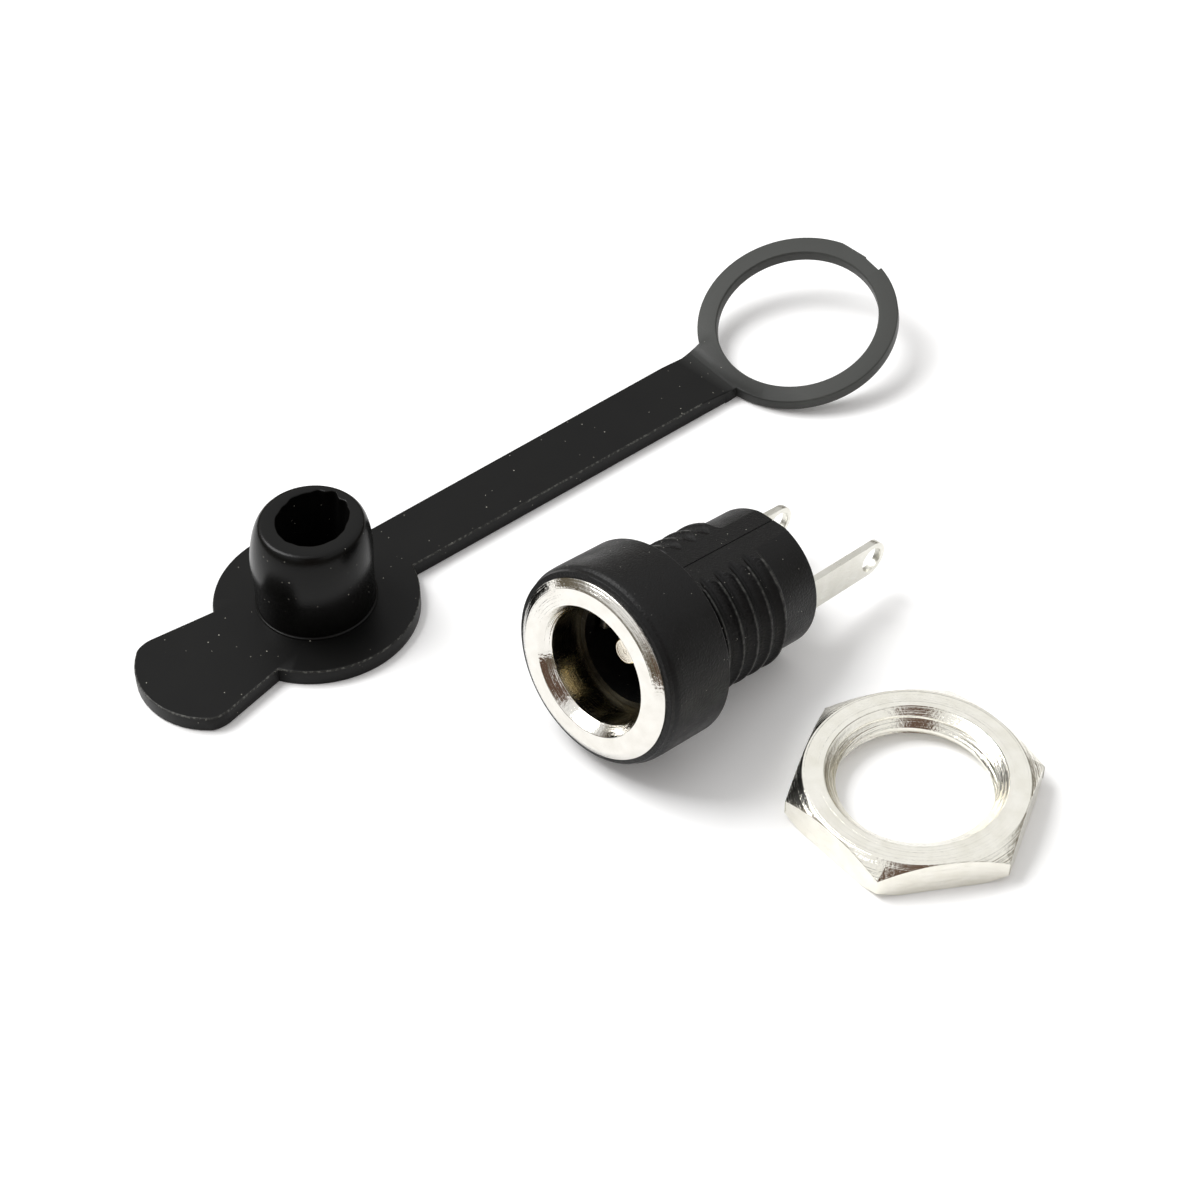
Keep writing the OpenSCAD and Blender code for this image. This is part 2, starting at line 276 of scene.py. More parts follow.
def millimetres(tree, place=(0, 0, 0), turn=(0, 0, 0)):
    """Object coordinates in mm, seen from a place and a turn of the piece's own."""
    coords = add(tree, "ShaderNodeTexCoord")
    return add(tree, "ShaderNodeMapping", {
        "Vector": coords.outputs["Object"], "Location": place, "Rotation": turn,
        "Scale": (MM, MM, MM)}, vector_type="TEXTURE").outputs[0]


def from_axis(tree, place, turn):
    """Coordinates in mm from a place and turn, the distance from their Z axis and along it."""
    where = millimetres(tree, place, turn)
    parts = add(tree, "ShaderNodeSeparateXYZ", {"Vector": where})
    flat = add(tree, "ShaderNodeCombineXYZ", {"X": parts.outputs["X"], "Y": parts.outputs["Y"]})
    radius = add(tree, "ShaderNodeVectorMath", {0: flat.outputs[0]}, operation="LENGTH")
    return where, radius.outputs["Value"], parts.outputs["Z"]


def clouded(tree, where, per_mm, detail, dark, light):
    """Soft clouds, so many to the millimetre, and the colour that drifts with them."""
    cloud = add(tree, "ShaderNodeTexNoise", {"Vector": where, "Scale": per_mm, "Detail": detail})
    tone = add(tree, "ShaderNodeMix", {
        "Factor": cloud.outputs["Fac"], "A": linear(dark), "B": linear(light)},
        data_type="RGBA")
    return cloud, tone


def dust(tree, where, spacing, size, share):
    """Specks of lint: 1 on a speck and 0 off it, on a share of the cells of a spacing in mm."""
    cells = add(tree, "ShaderNodeTexVoronoi", {"Vector": where, "Scale": 1 / spacing})
    kept = add(tree, "ShaderNodeSeparateColor", {"Color": cells.outputs["Color"]})
    near = add(tree, "ShaderNodeMath", {0: cells.outputs["Distance"], 1: size / spacing},
               operation="LESS_THAN")
    chosen = add(tree, "ShaderNodeMath", {0: kept.outputs["Red"], 1: share}, operation="LESS_THAN")
    there = add(tree, "ShaderNodeMath", {0: near.outputs[0], 1: chosen.outputs[0]},
                operation="MULTIPLY")
    paleness = add(tree, "ShaderNodeMapRange", {"Value": kept.outputs["Green"], "To Min": 0.15})
    return add(tree, "ShaderNodeMath", {0: there.outputs[0], 1: paleness.outputs[0]},
               operation="MULTIPLY").outputs[0]


def moulded_plastic():
    """Black PBT off a spark-eroded tool: satin, with lint on it and the thread rubbed grey.

    The real grain is some 0.03 mm across; seven to the millimetre are the finest that show."""
    material, tree, shader = new_material("moulded_black_pbt")
    where, radius, depth = from_axis(tree, JACK_PLACE, JACK_EULER)
    grain = add(tree, "ShaderNodeTexNoise", {"Vector": where, "Scale": 7.0, "Detail": 3.0})
    cloud, tone = clouded(tree, where, 0.6, 4.0, "#070707", "#0e0e0f")
    crest = add(tree, "ShaderNodeMapRange", {
        "Value": radius, "From Min": THREAD_RADIUS - 0.09, "From Max": THREAD_RADIUS - 0.02})
    behind = add(tree, "ShaderNodeMath", {0: depth, 1: FLANGE_LENGTH + 0.05},
                 operation="GREATER_THAN")
    on_thread = add(tree, "ShaderNodeMath", {0: crest.outputs[0], 1: behind.outputs[0]},
                    operation="MULTIPLY")
    scuffs = add(tree, "ShaderNodeTexNoise", {"Vector": where, "Scale": 3.0, "Detail": 5.0})
    patchy = add(tree, "ShaderNodeMapRange", {
        "Value": scuffs.outputs["Fac"], "From Min": 0.4, "From Max": 0.6, "To Min": 0.2})
    rubbed = add(tree, "ShaderNodeMath", {0: on_thread.outputs[0], 1: patchy.outputs[0]},
                 operation="MULTIPLY")
    crested = add(tree, "ShaderNodeMix", {
        "Factor": rubbed.outputs[0], "A": tone.outputs["Result"], "B": linear("#434341")},
        data_type="RGBA")
    dusty = add(tree, "ShaderNodeMix", {
        "Factor": dust(tree, where, 0.4, 0.032, 0.28), "A": crested.outputs["Result"],
        "B": linear("#b9b7ae")}, data_type="RGBA")
    sheen = add(tree, "ShaderNodeMapRange", {
        "Value": cloud.outputs["Fac"], "From Min": 0.3, "From Max": 0.7,
        "To Min": 0.32, "To Max": 0.48})
    surface(tree, shader, dusty, sheen, grain.outputs["Fac"], 0.8, 0.06)
    shader.inputs["IOR"].default_value = 1.55
    shader.inputs["Specular IOR Level"].default_value = 0.205
    return material


housing = turned("jack_housing", [
    (0, LIP_START), (BEZEL_RADIUS + SEAT_GAP, LIP_START, 0.05)] + FLANGE_EDGE + [
    (FLANGE_RADIUS, FLANGE_LENGTH, 0.12),
    (BARREL_RADIUS, FLANGE_LENGTH), (BARREL_RADIUS, BODY_LENGTH, 0.15), (0, BODY_LENGTH)])
flank = [(BARREL_RADIUS + GROOVE_RADIUS * (1 - math.cos(turn)),
          THREAD_PITCH / 2 - GROOVE_RADIUS * math.sin(turn)) for turn in FLANK_TURNS]
ridge_profile = [(RIDGE_FOOT[0], -RIDGE_FOOT[1])] + [
    (radius, -height) for radius, height in flank] + flank[::-1] + [RIDGE_FOOT]
thread = thread_ridge("thread", ridge_profile, THREAD_TURNS, FLANGE_LENGTH - THREAD_RUN_IN)
thread.data.transform(Matrix.Rotation(THREAD_START, 4, "Z"))
combine(housing, thread, "UNION")
for side in (-1, 1):
    low, high = sorted((side * FLAT_HEIGHT, side * PAST_SIDE))
    combine(housing, block("flat", (-PAST_SIDE, low, FLANGE_LENGTH),
                           (PAST_SIDE, high, PAST_REAR)), "DIFFERENCE")
combine(housing, turned("socket", [
    (0, -PAST), (BEZEL_RADIUS + SEAT_GAP, -PAST), (BEZEL_RADIUS + SEAT_GAP, HEAD_DEPTH),
    (LINING_RADIUS + SEAT_GAP, HEAD_DEPTH), (LINING_RADIUS + SEAT_GAP, LINING_DEPTH),
    (SOCKET_RADIUS, LINING_DEPTH), (SOCKET_RADIUS, SOCKET_DEPTH),
    (POCKET_RADIUS, SOCKET_DEPTH), (POCKET_RADIUS, PAST_REAR), (0, PAST_REAR)]), "DIFFERENCE")
combine(housing, block("channels", (-CHANNEL_REACH, -CHANNEL_WIDTH / 2, CHANNEL_FRONT),
                       (CHANNEL_REACH, CHANNEL_WIDTH / 2, SOCKET_DEPTH + PAST)), "DIFFERENCE")
combine(housing, block("parting_line", (-SEAM_WIDTH / 2, -FLAT_HEIGHT - PAST, SEAM_START),
                       (SEAM_WIDTH / 2, -FLAT_HEIGHT + SEAM_DEPTH, PAST_REAR)), "DIFFERENCE")
finish_smooth(housing)
lay_as_jack(housing)
black_plastic = moulded_plastic()
belongs(housing, black_plastic, "housing")


# ---- Rear plug --------------------------------------------------------------------------
# A small insulating disc in the same black plastic, pressed into the rear of the housing.
# It holds the pin and both contacts, and only its back shows, behind the lugs.

rear_plug = frame["nodes"]["rear_plug"]
rear_plug.data.materials.clear()
rear_plug.data.materials.append(black_plastic)


# ---- Bezel ------------------------------------------------------------------------------
# Turned from brass bar and nickel plated: a bevelled face ring, a countersink that guides
# the plug in, and a thin lining down the mouth. The tool left fine rings on every face.

MOUTH_RADIUS = MOUNTS["mouth"]["dims"]["r_mm"]
LEAD_RADIUS = 4.64
FACE_RADIUS = 5.8
BEVEL_DEPTH = 0.38


def turned_nickel(name, place, turn, colours, roughness, ring_spacing, cut, thin_from=99.0):
    """Nickel plate over turned brass: bright and warm, with the rings that the tool cut.

    The rings lie about the axis of a place and turn. Real ones are 0.03 to 0.05 mm apart, too
    fine to show, so the spacing is drawn about three times as wide. Past thin_from mm along the
    axis the plate is so thin that the brass tints it."""
    material, tree, shader = new_material(name)
    where, radius, height = from_axis(tree, place, turn)
    section = add(tree, "ShaderNodeCombineXYZ", {"X": radius, "Y": height})
    rings = add(tree, "ShaderNodeTexNoise", {
        "Vector": section.outputs[0], "Scale": 1 / ring_spacing, "Detail": 2.0},
        noise_dimensions="2D")
    pits = add(tree, "ShaderNodeTexNoise", {"Vector": where, "Scale": 5.0, "Detail": 2.0})
    marks = add(tree, "ShaderNodeMath", {
        0: pits.outputs["Fac"], 1: 0.6, 2: rings.outputs["Fac"]}, operation="MULTIPLY_ADD")
    cloud, tone = clouded(tree, where, 0.9, 3.0, *colours)
    thin = add(tree, "ShaderNodeMapRange", {
        "Value": height, "From Min": thin_from, "From Max": thin_from + 0.5, "To Max": 0.75})
    plate = add(tree, "ShaderNodeMix", {
        "Factor": thin.outputs[0], "A": tone.outputs["Result"], "B": linear("#d9c99a")},
        data_type="RGBA")
    worn = add(tree, "ShaderNodeMapRange", {
        "Value": cloud.outputs["Fac"], "From Min": 0.3, "From Max": 0.7,
        "To Min": roughness * 0.8, "To Max": roughness * 1.25})
    surface(tree, shader, plate, worn, marks.outputs[0], cut, 0.03)
    shader.inputs["Metallic"].default_value = 1.0
    return material


bezel = turned("jack_bezel", [
    (LEAD_RADIUS, 0, 0.05), (FACE_RADIUS, 0, 0.04), (BEZEL_RADIUS, BEVEL_DEPTH, 0.05),
    (BEZEL_RADIUS, HEAD_DEPTH), (LINING_RADIUS, HEAD_DEPTH), (LINING_RADIUS, LINING_DEPTH),
    (MOUTH_RADIUS, LINING_DEPTH, 0.04), (MOUTH_RADIUS, LEAD_DEPTH, 0.05),
    (LEAD_RADIUS, 0, 0.05)])
finish_smooth(bezel, 20)
lay_as_jack(bezel)
bright_nickel = turned_nickel(
    "turned_bright_nickel", JACK_PLACE, JACK_EULER, ("#d3d0c8", "#f0eee9"),
    roughness=0.12, ring_spacing=0.14, cut=0.85, thin_from=LEAD_DEPTH)
belongs(bezel, bright_nickel, "bezel")


# ---- Centre pin -------------------------------------------------------------------------
# Turned brass with bright nickel: a polished tip on a plain shaft, a collar against the rear
# plug, and a tail that is spread into a rivet head over its own lug.

PIN_RADIUS = MOUNTS["centre_pin"]["dims"]["r_mm"]
PIN_TIP = 3.45
TIP_HOLLOW = 0.07
TIP_RADIUS = 0.85
TIP_BEVEL = 0.25
COLLAR_RADIUS = PIN_RADIUS + 0.55
COLLAR_LENGTH = 0.8
TAIL_RADIUS = 0.8
RIVET_FRONT = 16.9
RIVET_BACK = RIVET_FRONT + 0.4
RIVET_RADIUS = 1.2
RIVET_TOP = 1.0
pin = turned("jack_centre_pin", [
    (0, PIN_TIP + TIP_HOLLOW), (TIP_RADIUS, PIN_TIP, 0.05),
    (PIN_RADIUS, PIN_TIP + TIP_BEVEL, 0.15), (PIN_RADIUS, SOCKET_DEPTH - COLLAR_LENGTH),
    (COLLAR_RADIUS, SOCKET_DEPTH - COLLAR_LENGTH, 0.08), (COLLAR_RADIUS, SOCKET_DEPTH),
    (TAIL_RADIUS, SOCKET_DEPTH), (TAIL_RADIUS, RIVET_FRONT),
    (RIVET_RADIUS, RIVET_FRONT), (RIVET_TOP, RIVET_BACK, 0.15), (0, RIVET_BACK)], 96)
finish_smooth(pin, 25)
lay_as_jack(pin)
polished_nickel = turned_nickel(
    "polished_nickel_pin", JACK_PLACE, JACK_EULER, ("#e4ddcc", "#f0ebe0"),
    roughness=0.16, ring_spacing=0.1, cut=0.3)
belongs(pin, polished_nickel, "centre_pin")


# ---- Contacts and lugs ------------------------------------------------------------------
# Stamped from half-millimetre brass strip and tinned. The press leaves a slightly rounded
# edge on one side; the tin is soft, so it shows rub marks and a dull, cloudy grey.

PRESSED_EDGE = 0.05


def soften(piece, width, angle=30):
    """Rounds the edges that are sharper than an angle by a width in mm."""
    take_up(piece)
    bevel = piece.modifiers.new("soften", "BEVEL")
    bevel.width = width * MM
    bevel.segments = 2
    bevel.limit_method = "ANGLE"
    bevel.angle_limit = math.radians(angle)
    bpy.ops.object.modifier_apply(modifier=bevel.name)


def tinned_strip():
    """Hot tin on brass strip: cloudy silver, dulled by fine rub marks along the jack.

    Real rubs are hairlines; the finest here are about 0.05 mm wide, so that they show."""
    material, tree, shader = new_material("tinned_brass_strip")
    where = millimetres(tree, JACK_PLACE, JACK_EULER)
    long_marks = add(tree, "ShaderNodeMapping", {"Vector": where, "Scale": (6.0, 14.0, 0.7)})
    rubs = add(tree, "ShaderNodeTexNoise", {
        "Vector": long_marks.outputs[0], "Scale": 1.5, "Detail": 4.0})
    tone = clouded(tree, where, 0.8, 3.0, "#d2d0c5", "#efeee8")[1]
    dull = add(tree, "ShaderNodeMapRange", {
        "Value": rubs.outputs["Fac"], "From Min": 0.3, "From Max": 0.7,
        "To Min": 0.25, "To Max": 0.42})
    surface(tree, shader, tone, dull, rubs.outputs["Fac"], 0.3, 0.01)
    shader.inputs["Metallic"].default_value = 1.0
    return material


tin = tinned_strip()
for strip_node in ("sleeve_contact", "switch_contact", "pin_lug"):
    # Each strip is a copy of its solid: loose from it, merged, and its sheared edges rounded.
    strip = frame["nodes"][strip_node].copy()
    strip.data = strip.data.copy()
    strip.name = "jack_" + strip_node
    strip.parent = None
    bpy.context.scene.collection.objects.link(strip)
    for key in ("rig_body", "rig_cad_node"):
        if key in strip:
            del strip[key]
    take_up(strip)
    bpy.ops.object.mode_set(mode="EDIT")
    bpy.ops.mesh.select_all(action="SELECT")
    bpy.ops.mesh.remove_doubles(threshold=1e-3 * MM)
    bpy.ops.mesh.dissolve_limited(angle_limit=math.radians(1))
    bpy.ops.object.mode_set(mode="OBJECT")
    soften(strip, PRESSED_EDGE, 40)
    finish_smooth(strip, 40)
    belongs(strip, tin, strip_node)


# ---- Nut --------------------------------------------------------------------------------
# Cut from hexagon brass bar on a lathe and nickel plated: both faces are chamfered at 30
# degrees, the hole is countersunk on both sides and tapped.

NUT_PLACE = Vector(MOUNTS["nut_thread"]["pos_m"])
NUT_TURN = math.radians(-5.9)
NUT_THICK = 2.6
NUT_FLATS = 15.0
NUT_CORNER = NUT_FLATS / math.sqrt(3)
NUT_FACE = 7.4
NUT_DROP = 0.94
NUT_BACK_DROP = 0.48
NUT_BACK = NUT_CORNER - NUT_BACK_DROP * (NUT_CORNER - NUT_FACE) / NUT_DROP
NUT_BORE = MOUNTS["nut_thread"]["dims"]["r_mm"]
NUT_MOUTH = 5.97
MOUTH_BEVEL = 0.62
BURR = 0.05
TAP_DEPTH = 0.5
TAP_ROOT = 0.12
TAP_HALF = 0.42 * THREAD_PITCH
TAP_TURNS = 4
TAP_START = -1.5

nothing_selected()
bpy.ops.mesh.primitive_cylinder_add(vertices=6, radius=NUT_CORNER * MM, depth=NUT_THICK * MM,
                                    location=(0, 0, NUT_THICK / 2 * MM),
                                    rotation=(0, 0, math.radians(90)))
nut = bpy.context.object
nut.name = "panel_nut"
bpy.ops.object.transform_apply(location=True, rotation=True, scale=True)
combine(nut, turned("chamfers", [
    (0, -PAST), (NUT_BACK, -PAST), (NUT_BACK, 0), (NUT_CORNER, NUT_BACK_DROP),
    (NUT_CORNER, NUT_THICK - NUT_DROP), (NUT_FACE, NUT_THICK), (NUT_FACE, NUT_THICK + PAST),
    (0, NUT_THICK + PAST)]), "INTERSECT")
soften(nut, BURR, 20)
combine(nut, turned("bore", [
    (0, -PAST), (NUT_MOUTH + BURR, -PAST), (NUT_MOUTH + BURR, 0), (NUT_BORE, MOUTH_BEVEL, 0.04),
    (NUT_BORE, NUT_THICK - MOUTH_BEVEL, 0.04), (NUT_MOUTH, NUT_THICK - BURR, 0.04),
    (NUT_MOUTH + 2 * BURR, NUT_THICK + BURR), (NUT_MOUTH + 2 * BURR, NUT_THICK + PAST),
    (0, NUT_THICK + PAST)]), "DIFFERENCE")
combine(nut, thread_ridge("tapped_groove", [
    (NUT_BORE - 0.3, -TAP_HALF), (NUT_BORE, -TAP_HALF),
    (NUT_BORE + TAP_DEPTH, -TAP_ROOT), (NUT_BORE + TAP_DEPTH, TAP_ROOT),
    (NUT_BORE, TAP_HALF), (NUT_BORE - 0.3, TAP_HALF)], TAP_TURNS, TAP_START), "DIFFERENCE")
finish_smooth(nut, 20)
nut.data.transform(Matrix.Translation((NUT_PLACE.x, NUT_PLACE.y, 0))
                   @ Matrix.Rotation(NUT_TURN, 4, "Z"))
lathe_cut_nickel = turned_nickel(
    "lathe_cut_nickel_nut", (NUT_PLACE.x, NUT_PLACE.y, 0), (0, 0, 0), ("#e3e0d3", "#f8f6ef"),
    roughness=0.16, ring_spacing=0.14, cut=1.1)
belongs(nut, lathe_cut_nickel, "nut")


# ---- Dust cap ---------------------------------------------------------------------------
# One moulding in black rubber: a disc with a hollow plug that pushes into the mouth, a pull
# tab, and a strap to the ring that is trapped behind the nut. The ring springs up from the
# table, because it was moulded flat and then folded.

# The cap is made with its disc about the origin and its strap along +X, and turned at the end.
CAP_PLACE = Vector(MOUNTS["cap_hollow"]["pos_m"]) / MM
CAP_RADIUS = 7.25
CAP_THICK = 1.25
EDGE = 0.13
STRAP_TURN = math.radians(83.9)
STRAP_ROOT = 3
STRAP_LENGTH = 37.1
STRAP_SHIFT = 0.6
STRAP_HALF = 2.45
STRAP_END_HALF = 2.6
THINS_FROM = STRAP_LENGTH - 3
RING_PLACE = (STRAP_LENGTH, 0, 0)
RING_RADIUS = 7.7
RING_BORE = MOUNTS["cap_ring"]["dims"]["r_mm"]
RING_THICK = MOUNTS["cap_ring"]["dims"]["length_mm"]
RING_SHIFT = 0.75
RING_LIFT = math.radians(16.5)
RING_ROLL = math.radians(4.3)
FOLD_HALF = 1.0
FOLD_CUTS = 8
STRAP_END_THICK = RING_THICK + 0.02
TONGUE_REACH = (-1, 3)
# Where the gate was trimmed off the ring: depth and half width in mm, and turn in degrees.
GATE_TRIMS = ((0.245, 9, 6), (0.34, 0.8, -5))
TAB_REACH = 14.3
TAB_HALF = 4.65
TAB_ROOT = 2.7
TAB_ARC = 5.6
TAB_CORNER = 0.9
TAB_SKEW = math.radians(3)
PLUG_TOP = 8.55
PLUG_RADIUS = 4.275
PLUG_RIM = 3.42
PLUG_NECK = 4.19
PLUG_FOOT = PLUG_NECK + 0.12
PLUG_MIDDLE = 5.0
POLISHED_WITHIN = 5.4
MATTE_FROM = 5.7
NECK_TOP = CAP_THICK + 2.4
BULGE_TOP = CAP_THICK + 3.9
PLUG_BORE = MOUNTS["cap_hollow"]["dims"]["r_mm"]
HOLLOW_FLOOR = 1.65
# The plug's free end leans this far, and torn flash has widened its hole on one side.
PLUG_LEAN = Vector((0.17, 0.18, 0))
TEAR_MIDDLE = math.radians(115)
TEAR_DEPTH = 0.9


def moulded_rubber():
    """Black rubber: matte and a little grey, with lint stuck to it and its top edge worn pale.

    The mould was polished where the plug seals, so the plug shines. From the fold on, the ring is
    painted a paler grey, a painted sheen that stands for the light its tilted face catches. The
    real grain is too fine to show, and nine to the millimetre are drawn."""
    material, tree, shader = new_material("moulded_black_rubber")
    where = millimetres(tree)
    grain = add(tree, "ShaderNodeTexNoise", {"Vector": where, "Scale": 9.0, "Detail": 4.0})
    tone = clouded(tree, where, 0.3, 3.0, "#080808", "#10100f")[1]
    dusty = add(tree, "ShaderNodeMix", {
        "Factor": dust(tree, where, 0.45, 0.045, 0.22), "A": tone.outputs["Result"],
        "B": linear("#a9a79c")}, data_type="RGBA")
    spot = add(tree, "ShaderNodeSeparateXYZ", {"Vector": where})
    from_edge = add(tree, "ShaderNodeMath", {
        0: spot.outputs["Z"], 1: CAP_THICK - EDGE / 2, 2: EDGE * 0.4}, operation="COMPARE")
    before_fold = add(tree, "ShaderNodeMath", {
        0: spot.outputs["Y"], 1: CAP_PLACE.y + THINS_FROM * math.sin(STRAP_TURN) - 0.5},
        operation="LESS_THAN")
    # Painted sheen: the ring's rubber is painted paler grey from the fold on, in place of the
    # light that its raised, tilted face catches.
    ring_sheen_ramp = add(tree, "ShaderNodeMapRange", {
        "Value": spot.outputs["Y"], "From Min": CAP_PLACE.y + STRAP_LENGTH - 1.5,
        "From Max": CAP_PLACE.y + STRAP_LENGTH + 2})
    painted_ring_sheen = add(tree, "ShaderNodeMix", {
        "Factor": ring_sheen_ramp.outputs[0], "A": dusty.outputs["Result"], "B": linear("#444543")},
        data_type="RGBA")
    scuffs = add(tree, "ShaderNodeTexNoise", {"Vector": where, "Scale": 4.0, "Detail": 4.0})
    scuffed = add(tree, "ShaderNodeMapRange", {
        "Value": scuffs.outputs["Fac"], "From Min": 0.48, "From Max": 0.62, "To Min": 0.15,
        "To Max": 0.8})
    flat_part = add(tree, "ShaderNodeMath", {0: scuffed.outputs[0], 1: before_fold.outputs[0]},
                    operation="MULTIPLY")
    edge_wear = add(tree, "ShaderNodeMath", {0: from_edge.outputs[0], 1: flat_part.outputs[0]},
                    operation="MULTIPLY")
    worn = add(tree, "ShaderNodeMix", {
        "Factor": edge_wear.outputs[0], "A": painted_ring_sheen.outputs["Result"], "B": linear("#5b5b57")},
        data_type="RGBA")
    from_plug = add(tree, "ShaderNodeVectorMath", {
        0: where, 1: (CAP_PLACE.x, CAP_PLACE.y, PLUG_MIDDLE)}, operation="DISTANCE")
    matte = add(tree, "ShaderNodeMapRange", {
        "Value": from_plug.outputs["Value"], "From Min": POLISHED_WITHIN,
        "From Max": MATTE_FROM, "To Min": 0.24, "To Max": 0.36})
    surface(tree, shader, worn, matte, grain.outputs["Fac"], 0.35, 0.02)
    shader.inputs["IOR"].default_value = 1.5
    shader.inputs["Specular IOR Level"].default_value = 0.15
    return material


def flat_moulding(name, corners, thickness):
    """Extrudes an outline of (x, y) corners from the table to a thickness."""
    piece = trace(name, [(x, y, 0) for x, y in corners + corners[:1]])
    bpy.ops.mesh.remove_doubles(threshold=1e-3 * MM)
    bpy.ops.mesh.edge_face_add()
    bpy.ops.mesh.extrude_region_move(TRANSFORM_OT_translate={"value": (0, 0, thickness * MM)})
    return close_up(piece)


def cut_across(piece, places):
    """Cuts a piece's faces across its length at places along +X, so that it can bend there."""
    take_up(piece)
    bpy.ops.object.mode_set(mode="EDIT")
    for place in places:
        bpy.ops.mesh.select_all(action="SELECT")
        bpy.ops.mesh.bisect(plane_co=(place * MM, 0, 0), plane_no=(1, 0, 0))
    bpy.ops.object.mode_set(mode="OBJECT")


def springs_up(vertex):
    """Folds the ring's end of the strap up from the table and leans it to one side."""
    bent = vertex.x / MM - (STRAP_LENGTH - FOLD_HALF)
    if bent <= 0:
        return vertex
    share = min(1.0, bent / (2 * FOLD_HALF))
    lift, roll = RING_LIFT * share, RING_ROLL * share
    radius = 2 * FOLD_HALF / RING_LIFT
    past = max(0.0, bent - 2 * FOLD_HALF)
    along = radius * math.sin(lift) + past * math.cos(lift)
    up = radius * (1 - math.cos(lift)) + past * math.sin(lift)
    low_side = (STRAP_END_HALF - STRAP_SHIFT) * math.sin(roll)
    base = Vector((STRAP_LENGTH - FOLD_HALF + along, 0, up + low_side)) * MM
    lean = Matrix.Rotation(-lift, 3, "Y") @ Matrix.Rotation(roll, 3, "X")
    return base + lean @ Vector((0, vertex.y, vertex.z))


def tear(turn):
    """How far in mm the torn flash has widened the hole at a turn about it."""
    ragged = 0.5 + 0.2 * (math.sin(7 * turn) + math.sin(13 * turn + 2) + math.sin(17 * turn + 1))
    behind = max(0.0, math.cos(turn - TEAR_MIDDLE)) ** 2
    return 0.06 * ragged + 0.75 * behind * (0.6 + 0.4 * ragged)


ring_middle = Matrix.Translation(Vector((RING_RADIUS, -RING_SHIFT, 0)) * MM)
ring = turned("ring", [
    (0, 0), (RING_RADIUS, 0, 0.06), (RING_RADIUS, RING_THICK, 0.12), (0, RING_THICK)], 160)
for depth, half_width, turn in GATE_TRIMS:
    trim = block("gate_trim", (RING_RADIUS - depth, -half_width, -PAST),
                 (RING_RADIUS + 2 * PAST, half_width, 3 * PAST))
    trim.data.transform(Matrix.Rotation(math.radians(turn), 4, "Z"))
    combine(ring, trim, "DIFFERENCE")
ring.data.transform(ring_middle)
tongue_low, tongue_high = STRAP_SHIFT - STRAP_END_HALF, STRAP_SHIFT + STRAP_END_HALF
combine(ring, flat_moulding("tongue", [
    (TONGUE_REACH[0], tongue_low), (TONGUE_REACH[1], tongue_low),
    (TONGUE_REACH[1], tongue_high), (TONGUE_REACH[0], tongue_high)], RING_THICK), "UNION")
ring_hole = turned("ring_hole", [
    (0, -PAST), (RING_BORE + PAST + 0.05, -PAST), (RING_BORE, 0.05, 0.04),
    (RING_BORE, RING_THICK - 0.1, 0.08), (RING_BORE + PAST + 0.1, RING_THICK + PAST),
    (0, RING_THICK + PAST)], 160)
ring_hole.data.transform(ring_middle)
combine(ring, ring_hole, "DIFFERENCE")
ring.data.transform(Matrix.Translation(Vector(RING_PLACE) * MM))

strap = flat_moulding("strap", [
    (STRAP_ROOT, STRAP_SHIFT - STRAP_HALF), (STRAP_LENGTH, tongue_low),
    (STRAP_LENGTH, tongue_high), (STRAP_ROOT, STRAP_SHIFT + STRAP_HALF)], CAP_THICK)
soften(strap, EDGE)
cut_across(strap, (THINS_FROM, STRAP_LENGTH - 0.3))
for vertex in strap.data.vertices:
    thinned = max(0.0, (vertex.co.x / MM - THINS_FROM) / (STRAP_LENGTH - THINS_FROM))
    vertex.co.z *= 1 - thinned * (1 - STRAP_END_THICK / CAP_THICK)

arc_half = math.asin(TAB_HALF / TAB_ARC)
arc = [(-TAB_REACH + TAB_ARC * (1 - math.cos(turn)), TAB_ARC * math.sin(turn))
       for turn in [arc_half * (1 - step / 8) for step in range(17)]]
tab = flat_moulding("tab", [(0, TAB_ROOT)] + arc + [(0, -TAB_ROOT)], CAP_THICK)
bpy.ops.object.mode_set(mode="EDIT")
pick(tab, lambda co: abs(abs(co.y) - TAB_HALF) < 0.01)
bpy.ops.mesh.bevel(offset=TAB_CORNER * MM, segments=6, affect="EDGES")
close_up(tab)
soften(tab, EDGE, 40)
tab.data.transform(Matrix.Rotation(TAB_SKEW, 4, "Z"))

cap = turned("dust_cap_moulding", [
    (0, 0), (CAP_RADIUS, 0, 0.06), (CAP_RADIUS, CAP_THICK, EDGE), (0, CAP_THICK)], 160)
for part in (tab, strap, ring):
    combine(cap, part, "UNION")
cut_across(cap, [STRAP_LENGTH + FOLD_HALF * (step / (FOLD_CUTS / 2) - 1)
                 for step in range(FOLD_CUTS + 1)])
for vertex in cap.data.vertices:
    vertex.co = springs_up(vertex.co)

bulge = [(PLUG_RIM + (PLUG_RADIUS - PLUG_RIM) * math.cos(turn),
          BULGE_TOP + (PLUG_TOP - BULGE_TOP) * math.sin(turn))
         for turn in [math.radians(7.5 * step) for step in range(12)]]
plug = turned("plug", [
    (0, 0.5), (PLUG_FOOT, 0.5), (PLUG_FOOT, CAP_THICK + 0.1, 0.04),
    (PLUG_NECK, CAP_THICK + 0.16, 0.04), (PLUG_NECK, NECK_TOP, 0.5)] + bulge + [
    (PLUG_RIM - 0.12, PLUG_TOP, 0.08), (PLUG_BORE, PLUG_TOP, 0.1), (PLUG_BORE, PLUG_TOP - 0.35),
    (PLUG_BORE, PLUG_TOP - 0.8), (PLUG_BORE, HOLLOW_FLOOR, 0.3), (0, HOLLOW_FLOOR)], 160)
lean = Matrix.Rotation(-STRAP_TURN, 3, "Z") @ PLUG_LEAN
